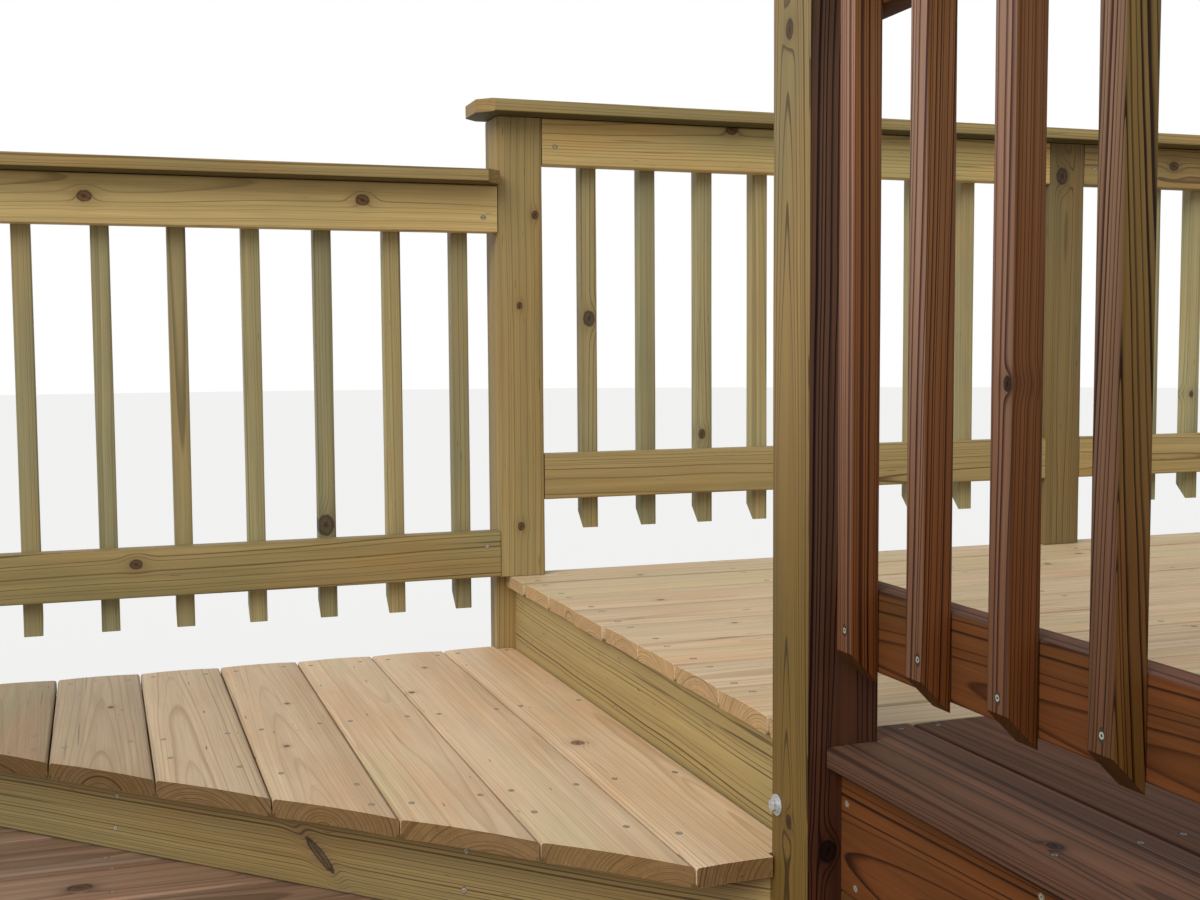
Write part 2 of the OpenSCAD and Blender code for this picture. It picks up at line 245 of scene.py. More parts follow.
def woodFinish(name, look, isEnd):
    # years' rings round a pith beside the timber, bent by knots, with fibres along the timber
    sheet = newMaterial(name)
    x, y, z = sheet.read("timberPlace")
    pithAcross, pithDeep, tilt = sheet.read("timberPith")
    rings, shade, seed = sheet.read("timberNature")
    halfAcross, halfDeep, lean = sheet.read("timberHalf")
    warmth, greenness, bold = sheet.read("timberTint")
    moved = {0: x + seed * 17.0, 1: y + seed * 5.0, 2: z + seed * 3.0}
    spot = sheet.add("CombineXYZ", {}, moved)

    swayAcross, swayDeep, drift = sheet.parts(sheet.noise(spot, "sway", 2.5, "Color"))
    ripple = sheet.noise(spot, "ripple") - 0.5
    across = y - pithAcross + lean * x + (swayAcross - 0.5) * look["sway"] + ripple * look["ripple"]
    deep = z - pithDeep + tilt * x + (swayDeep - 0.5) * look["sway"]

    fibres = sheet.noise(spot, "fibres", 3.0)
    streaks = sheet.noise(spot, "streaks", 3.0)
    patchOne, patchTwo, patchThree = sheet.parts(sheet.noise(spot, "patches", 3.0, "Color"))

    inKnot = knotCore = knotRim = knotHalo = knotRings = knotCrack = bulge = 0.0
    edgeWobble = sheet.noise(spot, "knotEdge") - 0.5
    knots = {"timberKnotOne": y, "timberKnotTwo": y, "timberKnotThree": y, "timberSideKnot": z}
    for knot, sideways in knots.items():
        knotAlong, knotAside, knotSize = sheet.read(knot)
        gapAlong = (x - knotAlong) * look.get("knotSqueeze", 0.78)
        gapAcross = sideways - knotAside + (x - knotAlong) * look.get("knotLean", 0.0)
        gap = (gapAlong * gapAlong + gapAcross * gapAcross) ** 0.5
        share = gap / (knotSize + 0.00001) + edgeWobble * 0.35
        halo = (-(share * share) * 0.22).exponential()
        if sideways is y:
            across -= gapAcross * halo * 0.75
        else:
            deep -= gapAcross * halo * 0.75
        bulge += halo * knotSize * 0.6
        inside = 1 - share.smooth(0.8, 1.0)
        inKnot += inside
        knotCore += 1 - share.smooth(0.15, 0.5)
        knotRim += share.smooth(0.72, 0.95) * (1 - share.smooth(1.0, 1.25))
        knotHalo += halo
        knotRings += gap * 900.0
        bentGap = (gapAcross + gapAlong * 0.5).absolute() + edgeWobble * 0.002
        knotCrack += inside * (1 - bentGap.smooth(0.0003, 0.0012))

    # rings of uneven width, each with its own darkness and a frayed inner side
    radius = (across * across + deep * deep) ** 0.5 + bulge
    ringCount = radius * rings + (drift - 0.5) * 2.0
    oneWay = {"noise_dimensions": "1D"}
    uneven = sheet.add("TexNoise", oneWay, {"W": ringCount * 0.45 + seed * 31.0, "Scale": 1.0})
    ringCount += (uneven - 0.5) * 2.2
    ringTone = sheet.add("TexWhiteNoise", oneWay, {"W": ringCount.floor() + seed * 50.0})
    turn = ringCount.fraction()
    frayed = turn + (streaks - 0.5) * 0.3 + (fibres - 0.5) * 0.16
    lateWood = frayed.smooth(look["lateStart"], 0.92) * (1 - turn.smooth(0.93, 1.0))
    lateWood *= 0.55 + 0.6 * ringTone

    # drying checks, long and thin, and short dark dashes of resin
    splits = sheet.noise(spot, "splits", 1.0).smooth(0.7, 0.75)
    checks = splits * patchThree.smooth(0.48, 0.6) * look["checks"]
    dashes = sheet.noise(spot, "dashes", 0.0).smooth(0.83, 0.87) * look["dashes"]
    marks = checks.atLeast(dashes)

    # layers of colour over the early wood: patches, rings, knots and marks
    colour = look["early"]
    layers = [
        ((patchOne + warmth - 0.5).smooth(0.4, 0.72) * 0.85, look["warm"]),
        ((patchTwo + greenness - 0.5).smooth(0.42, 0.75) * 0.85, look["green"]),
    ]
    lateTone = look["late"]
    if isEnd:
        layers.append((0.85, look["end"]))
        lateTone = tuple(part * 0.38 for part in look["end"])
    knotYears = (knotRings + streaks * 2.0).fraction().smooth(0.3, 0.9)
    layers += [
        (lateWood * look["contrast"] * bold * (0.7 + 0.6 * patchThree), lateTone),
        (knotHalo * 0.45, look["knotHeart"]),
        (inKnot * 0.92, sheet.blend(knotYears, look["knotHeart"], look["knot"])),
        (knotCore * look.get("knotCore", 0.75), look["knot"]),
        ((knotRim * 0.85).atLeast(knotCrack * 0.9), look["knot"]),
        (marks, look["knot"]),
    ]
    for amount, layer in layers:
        colour = sheet.blend(amount, colour, layer)

    # painted shade and light: what stands upright is darker and browner towards its foot, where shade
    # falls, and lighter at its head, where light falls
    if "fade" in look:
        fade = look["fade"]
        shadeTowardFoot = (-x).smooth(-fade["above"], fade["below"])
        colour = sheet.vector("MULTIPLY", colour, sheet.blend(shadeTowardFoot, fade["head"], fade["foot"]))

    # darker along the edges, as worn; a wood whose edge value is below nought, lowerStain, is lighter
    # there instead: a painted highlight on the lit edges
    toEdge = (halfAcross - y.absolute()).atLeast(halfDeep - z.absolute())
    edge = 1 - (toEdge + (streaks - 0.5) * 0.004).smooth(0.0005, 0.006)
    light = shade * (1 + (streaks - 0.5) * 2.0 * look["streaks"]) * (0.8 + 0.4 * fibres)
    light *= 1 - edge * look["edgeWear"]
    colour = sheet.add("VectorMath", {"operation": "SCALE"}, {0: colour, "Scale": light})

    # the relief leaves the rings out, because a bump reckons all that it reads three times
    height = fibres * 0.6 + streaks * 0.5 - marks * 1.6
    roughness = look["roughness"] + (streaks - 0.5) * 0.16 - lateWood * 0.08 + inKnot * 0.05
    surface = {"Base Color": colour, "Roughness": roughness, "Specular IOR Level": look["gloss"]}
    sheet.cover(surface, height, look["relief"], 0.0012)


# ---------- metal

metals = dict(
    zinc=dict(pale=(0.58, 0.59, 0.61), dull=(0.36, 0.37, 0.39), metallic=0.5),
    coatedSteel=dict(pale=(0.46, 0.47, 0.38), dull=(0.24, 0.24, 0.19), metallic=0.3),
    dullSteel=dict(pale=(0.17, 0.16, 0.15), dull=(0.075, 0.07, 0.07), metallic=0.3),
)


def metalFinish(name, look):
    # coated steel: spangled, with duller rubbed places
    sheet = newMaterial(name)
    place = sheet.add("TexCoord", {}, {}, "Object")
    spangle = sheet.noise(place, "spangle", 3.0)
    rubbed = sheet.noise(place, "rubbed")
    colour = sheet.blend(spangle.smooth(0.35, 0.7), look["pale"], look["dull"])
    surface = {"Base Color": colour, "Metallic": look["metallic"], "Roughness": 0.35 + 0.3 * rubbed}
    sheet.cover(surface, spangle, 0.25, 0.0004)


def tornFinish(name, dark, pale):
    # the torn wood round a driven screw, darkened as painted shade of the sunk hole
    sheet = newMaterial(name)
    place = sheet.add("TexCoord", {}, {}, "Object")
    torn = sheet.noise(place, "torn", 3.0)
    colour = sheet.blend(torn.smooth(0.35, 0.65), dark, pale)
    sheet.cover({"Base Color": colour, "Roughness": 0.85}, torn, 0.6, 0.0006)


def addWood(name, look):
    # a wood's faces along the grain, and across it
    woodFinish(name, look, False)
    woodFinish(name + "End", look, True)


print("camera and finishes")
setCamera()
tornFinish("crushedWoodShade", (0.09, 0.058, 0.032), (0.24, 0.17, 0.1))
tornFinish("tornStainShade", (0.012, 0.007, 0.005), (0.05, 0.028, 0.017))
for woodName, look in woods.items():
    addWood(woodName, look)
mitredLook = dict(woods["newDecking"], end=(0.132, 0.064, 0.012), contrast=0.66, gloss=0.04)
woodFinish("mitredEnd", mitredLook, True)
# capUnder: a much darker copy of the pine for the caps' downward faces: painted shadow under the caps
capShadowLook = dict(
    woods["treatedPine"], early=(0.128, 0.1, 0.034), warm=(0.138, 0.092, 0.028),
    green=(0.105, 0.092, 0.036), late=(0.04, 0.028, 0.012),
)
woodFinish("capUnder", capShadowLook, False)
# the riser's one knot is long, slanting and half torn out
riserLook = dict(
    woods["treatedPine"], knotSqueeze=0.42, knotLean=0.85, knotCore=0.15, knot=(0.022, 0.012, 0.008),
    knotHeart=(0.185, 0.12, 0.07),
)
# the near post's pale faces: painted shade darkens them towards the foot, painted light brightens their
# head
nearLook = dict(
    woods["treatedPine"],
    fade=dict(above=0.35, below=0.15, head=(1.32, 1.34, 1.45), foot=(0.72, 0.66, 0.42)),
)
addWood("nearPine", nearLook)
addWood("riserPine", riserLook)
# brushedShadedSide: a darker, browner copy of the stain for the stained balusters' faces towards ±y, as
# painted shade, with painted shade towards the foot too
shadedSideLook = dict(
    woods["brushedStain"], early=(0.175, 0.072, 0.028), warm=(0.185, 0.066, 0.025),
    green=(0.21, 0.13, 0.042), late=(0.022, 0.008, 0.004),
    fade=dict(above=0.25, below=0.4, head=(1.12, 1.2, 1.2), foot=(0.74, 0.58, 0.42)),
)
woodFinish("brushedShadedSide", shadedSideLook, False)
for metalName, look in metals.items():
    metalFinish(metalName, look)


# ---------- working on meshes


def clearSelection():
    if bpy.context.object and bpy.context.object.mode != "OBJECT":
        bpy.ops.object.mode_set(mode="OBJECT")
    bpy.ops.object.select_all(action="DESELECT")


def setMode(mode):
    bpy.ops.object.mode_set(mode=mode)


def applyPlace():
    bpy.ops.object.transform_apply(location=True, rotation=True, scale=True)


def take(piece):
    clearSelection()
    piece.select_set(True)
    bpy.context.view_layer.objects.active = piece


def pick(piece, kind, test):
    # in edit mode: selects only edges whose two ends pass the test, or faces whose middle and normal do
    bpy.ops.mesh.select_mode(type=kind)
    bpy.ops.mesh.select_all(action="DESELECT")
    shape = bmesh.from_edit_mesh(piece.data)
    if kind == "EDGE":
        chosen = [edge for edge in shape.edges if test(edge.verts[0].co, edge.verts[1].co)]
    else:
        chosen = [face for face in shape.faces if test(face.calc_center_median(), face.normal)]
    for part in chosen:
        part.select_set(True)
    shape.select_flush_mode()
    bmesh.update_edit_mesh(piece.data)


def boxAt(name, low, high):
    clearSelection()
    bpy.ops.mesh.primitive_cube_add(size=1, location=(low + high) / 2, scale=high - low)
    piece = bpy.context.object
    piece.name = name
    piece.data.name = name
    applyPlace()
    return piece


def copyOf(piece, shift):
    take(piece)
    bpy.ops.object.duplicate(linked=False)
    twin = bpy.context.object
    twin.location = shift
    applyPlace()
    return twin


def joined(name, pieces):
    take(pieces[0])
    for piece in pieces:
        piece.select_set(True)
    if len(pieces) > 1:
        bpy.ops.object.join()
    whole = bpy.context.object
    whole.name = name
    whole.data.name = name
    return whole


def applyModifier(piece, kind, settings):
    take(piece)
    modifier = piece.modifiers.new(kind.lower(), kind)
    for name, value in settings.items():
        setattr(modifier, name, value)
    bpy.ops.object.modifier_apply(modifier=modifier.name)


def cutAway(piece, cutters):
    # takes the cutters' space out of the piece
    cutter = joined("cutter", cutters)
    applyModifier(piece, "BOOLEAN", {"object": cutter, "operation": "DIFFERENCE", "solver": "EXACT"})
    bpy.data.objects.remove(cutter)


def sawOff(piece, point, facing):
    # saws the piece along a plane, and what lies on the facing side falls away
    take(piece)
    setMode("EDIT")
    bpy.ops.mesh.select_all(action="SELECT")
    cut = {"use_fill": True, "clear_outer": True, "threshold": 0.00002}
    bpy.ops.mesh.bisect(plane_co=point, plane_no=facing, **cut)
    setMode("OBJECT")


def solidBoxes(node):
    # lowest and highest corner of each separate solid of a CAD node, from low x, y and z to high
    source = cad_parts[node].data
    keys = [tuple(round(c, 5) for c in v.co) for v in source.vertices]
    leader = {key: key for key in keys}

    def leaderOf(key):
        while leader[key] != key:
            leader[key] = leader[leader[key]]
            key = leader[key]
        return key

    for polygon in source.polygons:
        first = leaderOf(keys[polygon.vertices[0]])
        for index in polygon.vertices[1:]:
            leader[leaderOf(keys[index])] = first
    groups = {}
    for key in leader:
        groups.setdefault(leaderOf(key), []).append(key)
    boxes = []
    for points in groups.values():
        low = Vector([min(p[i] for p in points) for i in range(3)])
        high = Vector([max(p[i] for p in points) for i in range(3)])
        boxes.append((low, high))
    boxes.sort(key=lambda box: [round(c, 4) for c in box[0]])
    return boxes


# ---------- timbers

# the timbers' sizes, how crooked they are sawn and laid, and the ranges that their wood is drawn from
lumber = dict(
    wood="treatedPine", ease=0.003, rounds=3, rimEase=0.0008, cutEvery=0.14, crown=0.0, stagger=0.0,
    settle=0.0, wave=0.0011, waveLength=0.22, depth=(0.03, 0.12), aside=0.06, tilt=0.016,
    rings=(120, 210), shade=(0.93, 1.07), tint=(0.35, 0.65), boldness=(0.75, 1.15), knotty=0.5,
    knotSize=(0.006, 0.015), knotReach=0.006, endCosine=0.85, sideCosine=0.7, smoothAngle=35,
)

waveTexture = bpy.data.textures.new("sawWave", "CLOUDS")
waveTexture.noise_scale = lumber["waveLength"]
waveTexture.noise_depth = 1


def sawTimber(name, low, high, along, deep, style):
    # a squared timber with eased long edges and softened ends, cut crosswise so that it can wander
    size = high - low
    middle = (low + high) / 2
    length = size.dot(along)
    across = deep.cross(along)
    halfWidth = abs(size.dot(across)) / 2
    piece = boxAt(name, low, high)
    setMode("EDIT")

    def runsAlong(a, b):
        return abs((b - a).normalized().dot(along)) > 0.99 and (b - a).length > length * 0.5

    def runsAcross(a, b):
        return abs((b - a).normalized().dot(across)) > 0.99 and (b - a).length > halfWidth

    def atAnEnd(a, b):
        ends = (low.dot(along), high.dot(along))
        return min(abs(a.dot(along) - end) + abs(b.dot(along) - end) for end in ends) < 0.0001

    pick(piece, "EDGE", runsAlong)
    bpy.ops.mesh.bevel(offset=style["ease"], segments=style["rounds"], affect="EDGES")
    pick(piece, "EDGE", atAnEnd)
    bpy.ops.mesh.bevel(offset=style["rimEase"], segments=1, affect="EDGES")
    pick(piece, "EDGE", runsAlong)
    bpy.ops.mesh.subdivide(number_cuts=max(2, int(length / style["cutEvery"])))
    if style["crown"]:
        # boards dry with their middle a little higher than their edges
        pick(piece, "EDGE", runsAcross)
        bpy.ops.mesh.subdivide(number_cuts=3)
        for share, near, far in ((1.0, 0.8, 1.1), (0.25, 0.3, 0.7)):

            def liesThere(a, b):
                return all(near < abs((p - middle).dot(across)) / halfWidth < far for p in (a, b))

            pick(piece, "EDGE", liesThere)
            bpy.ops.transform.translate(value=-deep * style["crown"] * share)
    setMode("OBJECT")
    return piece


def sawSet(name, boxes, along, deep, style):
    # timbers of one size are sawn once and copied
    sawn = {}
    pieces = []
    for low, high in boxes:
        size = tuple(round(c, 4) for c in high - low)
        if size in sawn:
            first, firstLow = sawn[size]
            pieces.append(copyOf(first, low - firstLow))
        else:
            piece = sawTimber(name, low, high, along, deep, style)
            sawn[size] = (piece, low)
            pieces.append(piece)
    return pieces


def layLoosely(piece, along, deep, style, draw):
    # no two boards end or lie quite alike
    take(piece)
    setMode("EDIT")
    ends = [v.co.dot(along) for v in piece.data.vertices]
    for end, inward in ((min(ends), 1), (max(ends), -1)):
        pick(piece, "EDGE", lambda a, b: abs(a.dot(along) - end) + abs(b.dot(along) - end) < 0.003)
        bpy.ops.transform.translate(value=along * inward * draw.uniform(0, style["stagger"]))
    bpy.ops.mesh.select_all(action="SELECT")
    aside = deep.cross(along) * draw.uniform(-1, 1) - deep * draw.uniform(0, 1)
    bpy.ops.transform.translate(value=aside * style["settle"])
    setMode("OBJECT")


def knotsIn(spots, box, along, aside):
    # the knots that lie in this timber: their places along it and across it, and their sizes
    middle = (box[0] + box[1]) / 2
    half = (box[1] - box[0]) / 2
    found = []
    for x, y, z, size in spots:
        away = Vector((x, y, z)) - middle
        if all(abs(away[i]) < half[i] + lumber["knotReach"] for i in range(3)):
            found.append((away.dot(along), away.dot(aside), size))
    return found


def growTimber(style, name, number, box, along, deep):
    # how one timber grew: its pith lies under the face, aside from the middle and slightly askew
    draw = random.Random(name + str(number))
    across = deep.cross(along)
    half = (box[1] - box[0]) / 2
    halfLong = abs(half.dot(along))
    halfWide = abs(half.dot(across))
    knots = knotsIn(style.get("knots", []), box, along, across)
    while len(knots) < 2:
        chosen = draw.random() < style["knotty"] and "knots" not in style
        place = (draw.uniform(-0.9, 0.9) * halfLong, draw.uniform(-0.7, 0.7) * halfWide)
        knots.append((*place, draw.uniform(*style["knotSize"]) if chosen else 0.0))
    nature = dict(
        pith=(draw.uniform(-1, 1) * style["aside"], -draw.uniform(*style["depth"])),
        tilt=draw.uniform(-1, 1) * style["tilt"],
        lean=draw.uniform(-0.5, 0.5) * style["tilt"],
        rings=draw.uniform(*style["rings"]),
        shade=draw.uniform(*style["shade"]),
        seed=draw.random(),
        warmth=draw.uniform(*style["tint"]),
        greenness=draw.uniform(*style["tint"]),
        bold=draw.uniform(*style["boldness"]),
    )
    nature.update(style.get("timbers", {}).get(number, {}))
    sideKnots = knotsIn(style.get("sideKnots", []), box, along, deep)
    noKnot = [(0.0, 0.0, 0.0)]
    nature["knots"] = (knots + noKnot)[:3] + (sideKnots + noKnot)[:1]
    return nature


def markGrain(piece, boxes, along, deep, natures):
    # tells the wood where each point lies in its own timber, and how that timber grew
    across = deep.cross(along)
    names = ("Place", "Pith", "Nature", "Half", "Tint", "KnotOne", "KnotTwo", "KnotThree", "SideKnot")
    for name in names:
        piece.data.attributes.new("timber" + name, "FLOAT_VECTOR", "POINT")
    layers = [piece.data.attributes["timber" + name].data for name in names]
    for index, vertex in enumerate(piece.data.vertices):
        point = vertex.co
        gaps = [max(max(low[i] - point[i], point[i] - high[i]) for i in range(3)) for low, high in boxes]
        number = gaps.index(min(gaps))
        low, high = boxes[number]
        nature = natures[number]
        away = point - (low + high) / 2
        half = (high - low) / 2
        values = (
            (away.dot(along), away.dot(across), away.dot(deep)),
            (nature["pith"][0], nature["pith"][1], nature["tilt"]),
            (nature["rings"], nature["shade"], nature["seed"]),
            (abs(half.dot(across)), abs(half.dot(deep)), nature["lean"]),
            (nature["warmth"], nature["greenness"], nature["bold"]),
            *nature["knots"],
        )
        for layer, value in zip(layers, values):
            layer[index].vector = value


def roughen(piece, style):
    # sawn faces wander by about a millimetre, always inwards
    settings = {"texture": waveTexture, "texture_coords": "LOCAL", "mid_level": 1.0}
    applyModifier(piece, "DISPLACE", {**settings, "strength": style["wave"]})


def dress(piece, style, ends, node):
    # faces that look along one of the ends' directions are sawn across the grain
    wood = style["wood"]
    piece.data.materials.clear()
    paint(piece, wood, style.get("endFinish", wood + "End"))
    for face in piece.data.polygons:
        face.material_index = int(any(abs(face.normal.dot(end)) > style["endCosine"] for end in ends))
    if "sideFinish" in style:
        paint(piece, style["sideFinish"])
        for face in piece.data.polygons:
            looks = [face.normal.dot(facing) > style["sideCosine"] for facing in style["sideFacing"]]
            if face.material_index == 0 and any(looks):
                face.material_index = 2
    take(piece)
    bpy.ops.object.shade_smooth_by_angle(angle=math.radians(style["smoothAngle"]))
    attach(piece, "root")
    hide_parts(node)


laid = {}  # the pieces, by the names of their nodes


def nameOf(node):
    # left_top_rail is laid as leftTopRail
    first, *others = node.split("_")
    return first + "".join(word.title() for word in others)


def layTimbers(node, along, deep, own={}, shaping=None, ends=()):
    # builds all timbers of one node where the frame has them
    name = nameOf(node)
    style = {**lumber, **own}
    boxes = solidBoxes(node)
    pieces = sawSet(name, boxes, along, deep, style)
    if style["stagger"] or style["settle"]:
        for number, piece in enumerate(pieces):
            layLoosely(piece, along, deep, style, random.Random(node + str(number)))
    natures = [growTimber(style, name, number, box, along, deep) for number, box in enumerate(boxes)]
    whole = joined(name, pieces)
    if shaping:
        shaping(whole, boxes)
    roughen(whole, style)
    markGrain(whole, boxes, along, deep, natures)
    dress(whole, style, [along, *ends], node)
    laid[node] = whole


# ---------- lower deck

lowerDeck = dict(
    wood="lowerStain", ease=0.005, crown=0.0012, stagger=0.003, settle=0.0008, depth=(0.05, 0.16),
    rings=(150, 240), shade=(0.86, 1.1),
)

posts = dict(
    back=("corner_post", "middle_post", "right_end_post", "left_end_post"),
    side=("near_post", "stained_end_post"), legDepth=0.051, sideLeg=0.043, legGap=0.002, notchOver=0.01,
    stainCosine=0.72,
)


def legSpaces(low, high):
    # the space of the post legs between two levels, with the gap that boards leave round them
    gap = Vector((posts["legGap"], posts["legGap"], 0))
    spaces = []
    for node in posts["back"] + posts["side"]:
        front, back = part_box(node)
        if node in posts["side"]:
            back.x = front.x + posts["sideLeg"]
        else:
            front.y = back.y - posts["legDepth"]
        front.z = low
        back.z = high
        spaces.append(boxAt("legSpace", front - gap, back + gap))
    return spaces


def notchBoards(whole, boxes):
    low, high = boxes[0]
    cutAway(whole, legSpaces(low.z - posts["notchOver"], high.z + posts["notchOver"]))


print("lower deck")
for node, along, deep in (
    ("lower_left_rim", north, -east),
    ("lower_right_rim", north, -east),
    ("lower_back_rim", east, north),
    ("lower_front_rim", east, -north),
    ("lower_joists", north, -east),
):
    layTimbers(node, along, deep)
layTimbers("lower_deck_boards", east, up, lowerDeck, notchBoards)


# ---------- corner step

cornerStep = dict(
    noseOut=0.075, stock=0.038,
    riser=dict(
        wood="riserPine", knots=[(-0.504, -0.798, 0.212, 0.009)],
        timbers={
            0: dict(
                pith=(-0.16, -0.035), tilt=0.006, rings=240, shade=0.77, warmth=0.54, greenness=0.5,
                bold=1.6,
            ),
        },
    ),
    boards=dict(
        wood="newDecking", endFinish="mitredEnd", ease=0.005, crown=0.0015, settle=0.0006,
        rings=(150, 250), depth=(0.03, 0.1), aside=0.05,
        knots=[
            (-0.4874, -0.3302, 0.311, 0.004), (-0.5204, -0.5921, 0.311, 0.004),
            (-0.1104, -0.7245, 0.311, 0.009), (-0.2147, -0.1433, 0.311, 0.004),
            (-0.2762, -0.3213, 0.311, 0.005), (-0.7641, -0.2521, 0.311, 0.0045),
        ],
        timbers={
            # boards 3 to 6 are darker the further left they lie: painted shadow falling on the step from
            # the left
            3: dict(shade=0.61, warmth=0.66, greenness=0.56),
            4: dict(shade=0.69, warmth=0.5, pith=(0.0, -0.035), tilt=0.014),
            5: dict(shade=0.87, warmth=0.42, greenness=0.45, pith=(0.02, -0.06)),
            6: dict(shade=0.93, warmth=0.56, greenness=0.42, pith=(0.01, -0.03), tilt=0.02),
            7: dict(shade=1.03, warmth=0.5, greenness=0.45, pith=(-0.03, -0.05), tilt=-0.012),
            8: dict(shade=1.03, warmth=0.52, greenness=0.42, pith=(-0.055, -0.04), tilt=0.006),
            9: dict(shade=1.06, warmth=0.56, greenness=0.4, pith=(-0.045, -0.03), tilt=0.01, bold=1.15),
        },
    ),
)

slant = Vector((-1, -1, 0)).normalized()
slantRun = Vector((1, -1, 0)).normalized()
riserLow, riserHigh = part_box("step_riser")
riserLeft = Vector((riserLow.x, riserHigh.y, 0))


def trimStepFrame(whole, boxes):
    sawOff(whole, riserLeft - slant * cornerStep["stock"], slant)


def trimStepBoards(whole, boxes):
    sawOff(whole, riserLeft + slant * cornerStep["noseOut"], slant)
    notchBoards(whole, boxes)


def makeRiser():
    # a timber at 45 degrees, its two ends sawn along the rim and the post, and along the fascia
    style = {**lumber, **cornerStep["riser"]}
    length = (riserHigh.x - riserLow.x) * math.sqrt(2)
    low = Vector((0, 0, riserLow.z))
    high = Vector((length, cornerStep["stock"], riserHigh.z))
    riser = sawTimber("stepRiser", low, high, east, -north, style)
    take(riser)
    riser.rotation_euler = (0, 0, math.radians(-45))
    riser.location = (riserLow.x, riserHigh.y, 0)
    applyPlace()
    sawOff(riser, riserHigh, north)
    sawOff(riser, riserLow, -north)
    sawOff(riser, riserHigh, east)
    roughen(riser, style)
    box = (riserLow, riserHigh)
    nature = growTimber(style, "stepRiser", 0, box, slantRun, slant)
    markGrain(riser, [box], slantRun, slant, [nature])
    dress(riser, style, [east, north], "step_riser")
    laid["step_riser"] = riser


print("corner step")
layTimbers("step_frame", east, -north, shaping=trimStepFrame, ends=[slant])
makeRiser()
layTimbers("step_boards", north, up, cornerStep["boards"], trimStepBoards, [slant])


# ---------- upper deck

upperDeck = dict(
    plain={},
    lightFascia=dict(
        knotty=0,
        timbers={
            0: dict(
                pith=(0.095, -0.04), tilt=0.006, lean=0.02, rings=92, shade=1.02, warmth=0.36,
                greenness=0.48, bold=1.3,
            ),
        },
    ),
    stainedFrame=dict(wood="redStain", rings=(110, 160), knotty=0),
    stainedFascia=dict(
        wood="redStain", knotty=0,
        timbers={0: dict(pith=(0.03, -0.045), tilt=0.03, rings=140, warmth=0.5, bold=1.1)},
    ),
    lightBoards=dict(
        wood="newDecking", ease=0.005, crown=0.0012, stagger=0.004, settle=0.0008, rings=(150, 250),
        knots=[
            (0.15, -0.403, 0.457, 0.005), (0.181, -0.646, 0.457, 0.004), (0.216, -0.13, 0.457, 0.004),
            (1.184, -0.197, 0.457, 0.006), (1.038, -0.288, 0.457, 0.005), (0.84, -0.927, 0.457, 0.004),
        ],
    ),
    edgeBoard=dict(
        wood="oldStain", ease=0.004, rings=(210, 230), knots=[(0.0119, -1.6913, 0.457, 0.006)],
        timbers={0: dict(pith=(0.03, -0.06), tilt=0.006, warmth=0.55, shade=1.08, bold=1.15)},
    ),
    stainedBoards=dict(
        wood="oldStain", ease=0.003, crown=0.001, stagger=0.003, settle=0.0008, rings=(150, 230),
        shade=(0.94, 1.08),
    ),
)

print("upper deck")
for node, along, deep, own, shaping in (
    ("side_skirt", north, -east, "stainedFrame", None),
    ("light_fascia", north, -east, "lightFascia", None),
    ("stained_fascia", north, -east, "stainedFascia", None),
    ("upper_back_rim", east, north, "plain", None),
    ("upper_right_rim", north, east, "plain", None),
    ("upper_front_rim", east, -north, "stainedFrame", None),
    ("dividing_beam", east, -north, "plain", None),
    ("light_joists", north, -east, "plain", None),
    ("stained_joists", east, -north, "plain", None),
    ("support_posts", up, -north, "plain", None),
    ("light_deck_boards", east, up, "lightBoards", notchBoards),
    ("stained_edge_board", north, up, "edgeBoard", notchBoards),
    ("stained_deck_boards", north, up, "stainedBoards", None),
):
    layTimbers(node, along, deep, upperDeck[own], shaping)


# ---------- posts

posts.update(
    corner=dict(
        knots=[(0.0295, 0.0, 1.15, 0.006), (-0.0029, 0.0, 0.9774, 0.005), (-0.0038, 0.0, 0.5531, 0.006)],
        timbers={0: dict(pith=(-0.085, -0.035), tilt=0.006, rings=135, shade=0.93, warmth=0.5)},
    ),
    plain=dict(rings=(110, 160), knotty=0.3),
    middle=dict(
        knots=[(1.2272, 0.0, 1.2628, 0.013)],
        timbers={0: dict(shade=0.54, warmth=0.6, greenness=0.5, pith=(0.004, -0.01), rings=330)},
    ),
    near=dict(
        wood="nearPine", knots=[(-0.005, -1.2925, 1.24, 0.008), (-0.005, -1.2959, 0.361, 0.006)],
        sideKnots=[(-0.0229, -1.3, 0.3391, 0.009)],
        timbers={
            # the post's wood is darkened, shade 0.64: painted shade on its face towards -x
            0: dict(
                pith=(0.004, -0.004), tilt=0.012, rings=330, shade=0.64, warmth=0.78, greenness=0.46,
                bold=2.1,
            ),
        },
    ),
    stainedEnd=dict(wood="redStain", rings=(110, 160)),
)


def makePost(node, deep, seatNode, own):
    # its head rests on the boards, and its leg runs down outside the rim, behind it or at its left
    def notch(whole, boxes):
        low, high = boxes[0]
        room = Vector([posts["notchOver"]] * 3)
        front, back = low - room, high + room
        if deep.x:
            front.x = low.x + posts["sideLeg"]
        else:
            back.y = high.y - posts["legDepth"]
        back.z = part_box(seatNode)[1].z
        cutAway(whole, [boxAt("notch", front, back)])

    layTimbers(node, up, deep, own, notch)


def stainTwoFaces(post):
    # the stain was brushed on up to this post's arris: its faces towards the stained deck have it
    paint(post, "darkStain")
    for face in post.data.polygons:
        if max(-face.normal.y, face.normal.x) > posts["stainCosine"]:
            face.material_index = 2


print("posts")
for node, deep, seatNode, own in (
    ("corner_post", -north, "light_deck_boards", "corner"),
    ("middle_post", -north, "light_deck_boards", "middle"),
    ("right_end_post", -north, "light_deck_boards", "plain"),
    ("left_end_post", -north, "step_boards", "plain"),
    ("near_post", -east, "stained_deck_boards", "near"),
    ("stained_end_post", -east, "stained_deck_boards", "stainedEnd"),
):
    makePost(node, deep, seatNode, posts[own])
stainTwoFaces(laid["near_post"])


# ---------- railings

